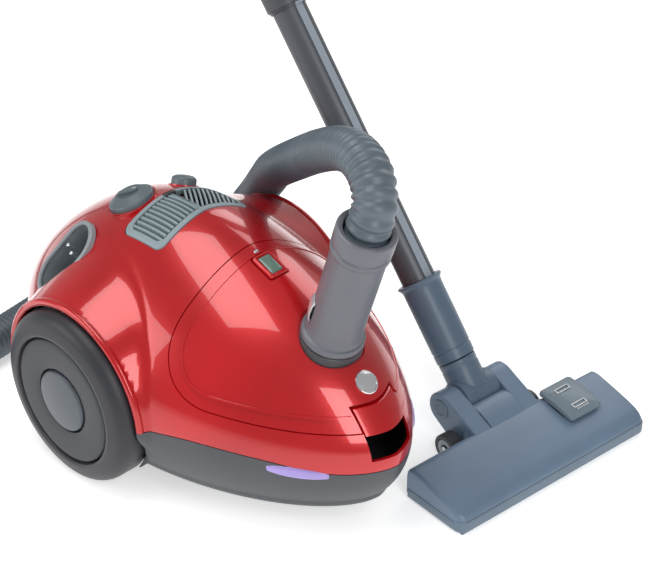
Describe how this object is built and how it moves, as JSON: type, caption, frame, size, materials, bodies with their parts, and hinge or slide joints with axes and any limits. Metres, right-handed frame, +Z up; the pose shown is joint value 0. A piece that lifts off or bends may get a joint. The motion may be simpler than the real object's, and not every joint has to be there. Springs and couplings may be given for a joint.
{
  "type": "canister vacuum cleaner",
  "caption": "Egg-shaped canister vacuum cleaner with large rear wheels, stretch hose, long wand with a curved handle, and a floor head.",
  "frame": {"origin": "centre of the base of the whole object's box, hose apart, on the floor", "axes": "+X from the canister's tail to its nose, +Y to the side where the wand stands, +Z up"},
  "size_m": [0.8843, 0.4947, 0.6093],
  "materials": {
    "body_red": "glossy metallic red, clear coated",
    "base_grey": "fine grained",
    "frame_grey": "fine grained",
    "seal_rubber": "matt",
    "coupling_grey": "satin",
    "release_silver": "satin",
    "hose_grey": "ribbed, satin",
    "grille_grey": "satin",
    "filter_white": "pleated felt",
    "button_grey": "satin",
    "steel": "turned",
    "plug_black": "matt",
    "recess_grey": "satin",
    "pin_chrome": "bright",
    "reel_white": "moulded",
    "motor_can": "spun",
    "motor_brass": "wound",
    "bag_paper": "creased paper",
    "bag_card": "pressed card",
    "hub_grey": "satin",
    "tyre_rubber": "satin rubber",
    "cap_grey": "smooth",
    "lens_clear": "clear",
    "lens_violet": "clear tinted",
    "badge_silver": "domed, plain",
    "wand_grey": "satin",
    "head_blue": "satin",
    "neck_blue": "satin",
    "sole_blue": "satin",
    "pedal_blue": "satin",
    "slider_blue": "satin"
  },
  "bodies": {
    "chassis": {"base_pan": "base_grey", "rear_housing": "body_red", "lid_hinge_pin": "steel", "hinge_bracket": "frame_grey", "exhaust_filter": "filter_white", "dial_switch": "frame_grey", "rewind_spring": "steel", "cord_recess": "recess_grey", "reel_spindle": "frame_grey", "motor_housing": "motor_can", "motor_mounts": "seal_rubber", "bulkhead": "frame_grey", "motor_filter": "filter_white", "dust_bag": "bag_paper", "bag_collar": "bag_card", "rear_axles": "steel", "side_lenses": "lens_violet", "base_screws": "steel", "neck_sleeve": "neck_blue", "wand_lower": "wand_grey", "wand_upper": "wand_grey", "handle": "wand_grey", "hose_front": "hose_grey", "hose_rear": "hose_grey"},
    "lid": {"lid": "body_red", "lid_gasket": "seal_rubber", "lid_hinge_arms": "frame_grey", "latch_pin": "steel", "inlet_socket": "frame_grey", "inlet_seal": "seal_rubber", "bag_window": "body_red", "window_lens": "lens_clear", "nose_badge": "badge_silver"},
    "latch": {"lid_latch": "body_red"},
    "coupling": {"hose_coupling": "coupling_grey", "coupling_release": "release_silver"},
    "grille": {"exhaust_grille": "grille_grey"},
    "dial": {"power_dial": "button_grey"},
    "rewind": {"rewind_button": "button_grey"},
    "plug": {"mains_plug": "plug_black", "plug_pins": "pin_chrome"},
    "reel": {"cord_reel": "reel_white", "wound_cord": "plug_black"},
    "motor": {"motor_rotor": "motor_brass"},
    "wheel_r": {"wheel_right": "hub_grey", "tyre_right": "tyre_rubber", "hub_cap_right": "cap_grey"},
    "wheel_l": {"wheel_left": "hub_grey", "tyre_left": "tyre_rubber", "hub_cap_left": "cap_grey"},
    "caster": {"caster_fork": "frame_grey", "caster_axle": "steel"},
    "caster_roller": {"caster_wheel": "tyre_rubber"},
    "neck": {"neck_elbow": "neck_blue"},
    "head": {"head_cover": "head_blue", "head_sole": "sole_blue", "head_pins": "steel"},
    "rollers": {"head_rollers": "tyre_rubber"},
    "pedal": {"head_pedal": "pedal_blue"},
    "slider": {"air_slider": "slider_blue"}
  },
  "joints": [
    {"name": "lid_hinge", "type": "hinge", "parent": "chassis", "child": "lid", "pos_m": [0.12098, -0.06255, 0.20261], "axis": [0, -1, 0], "range_deg": [0, 45], "deforming": ["hose_front"]},
    {"name": "latch_pull", "type": "hinge", "parent": "lid", "child": "latch", "pos_m": [0.29154, -0.06255, 0.124], "axis": [0, -1, 0], "range_deg": [0, 6], "stiffness_Nm_per_rad": 0.4, "springref_deg": -5.73},
    {"name": "coupling_swivel", "type": "hinge", "parent": "lid", "child": "coupling", "pos_m": [0.24299, -0.06255, 0.162], "axis": [0.309, 0, 0.9511], "range_deg": [-60, 60]},
    {"name": "grille_hinge", "type": "hinge", "parent": "chassis", "child": "grille", "pos_m": [0.09578, -0.06255, 0.2186], "axis": [0, 1, 0], "range_deg": [0, 60]},
    {"name": "dial_turn", "type": "hinge", "parent": "chassis", "child": "dial", "pos_m": [0.02499, -0.08155, 0.20603], "axis": [-0.3025, -0.2193, 0.9276], "range_deg": [0, 270]},
    {"name": "rewind_press", "type": "slide", "parent": "chassis", "child": "rewind", "axis": [0.2415, -0.384, -0.8912], "range_m": [0, 0.0035], "stiffness_N_per_m": 400, "springref_m": -0.002, "deforming": ["rewind_spring"]},
    {"name": "reel_spin", "type": "hinge", "parent": "chassis", "child": "reel", "pos_m": [-0.00702, -0.06255, 0.06], "axis": [0, 0, 1], "range_deg": [0, 73]},
    {"name": "plug_pull", "type": "slide", "parent": "chassis", "child": "plug", "axis": [-0.3091, -0.6869, 0.6578], "range_m": [0, 0.06]},
    {"name": "motor_spin", "type": "hinge", "parent": "chassis", "child": "motor", "pos_m": [0.06899, -0.05055, 0.122], "axis": [1, 0, 0], "continuous": true},
    {"name": "wheel_right_spin", "type": "hinge", "parent": "chassis", "child": "wheel_r", "pos_m": [0.06399, -0.18555, 0.078], "axis": [0, 1, 0], "continuous": true},
    {"name": "wheel_left_spin", "type": "hinge", "parent": "chassis", "child": "wheel_l", "pos_m": [0.06399, 0.06045, 0.078], "axis": [0, 1, 0], "continuous": true},
    {"name": "caster_swivel", "type": "hinge", "parent": "chassis", "child": "caster", "pos_m": [0.20899, -0.06255, 0.03], "axis": [0, 0, 1], "continuous": true},
    {"name": "caster_roll", "type": "hinge", "parent": "caster", "child": "caster_roller", "pos_m": [0.19798, -0.06255, 0.013], "axis": [0, 1, 0], "continuous": true},
    {"name": "neck_swivel", "type": "hinge", "parent": "chassis", "child": "neck", "pos_m": [0.26099, 0.09545, 0.036], "axis": [-0.6129, 0, 0.7902], "range_deg": [-5, 30]},
    {"name": "head_tilt", "type": "hinge", "parent": "neck", "child": "head", "pos_m": [0.26099, 0.09545, 0.036], "axis": [0.0906, 0.9959, 0], "range_deg": [-15, 20]},
    {"name": "rollers_spin", "type": "hinge", "parent": "head", "child": "rollers", "pos_m": [0.28289, 0.09346, 0.013], "axis": [0.0906, 0.9959, 0], "continuous": true},
    {"name": "pedal_rock", "type": "hinge", "parent": "head", "child": "pedal", "pos_m": [0.32038, 0.1523, 0.024], "axis": [0.0906, 0.9959, 0], "range_deg": [-3, 3]},
    {"name": "air_slide", "type": "slide", "parent": "chassis", "child": "slider", "axis": [-0.8406, 0, -0.5417], "range_m": [0, 0.01]}
  ],
  "couplings": [
    {"joint": "plug_pull", "follows": "reel_spin", "m_per_rad": 0.047}
  ]
}
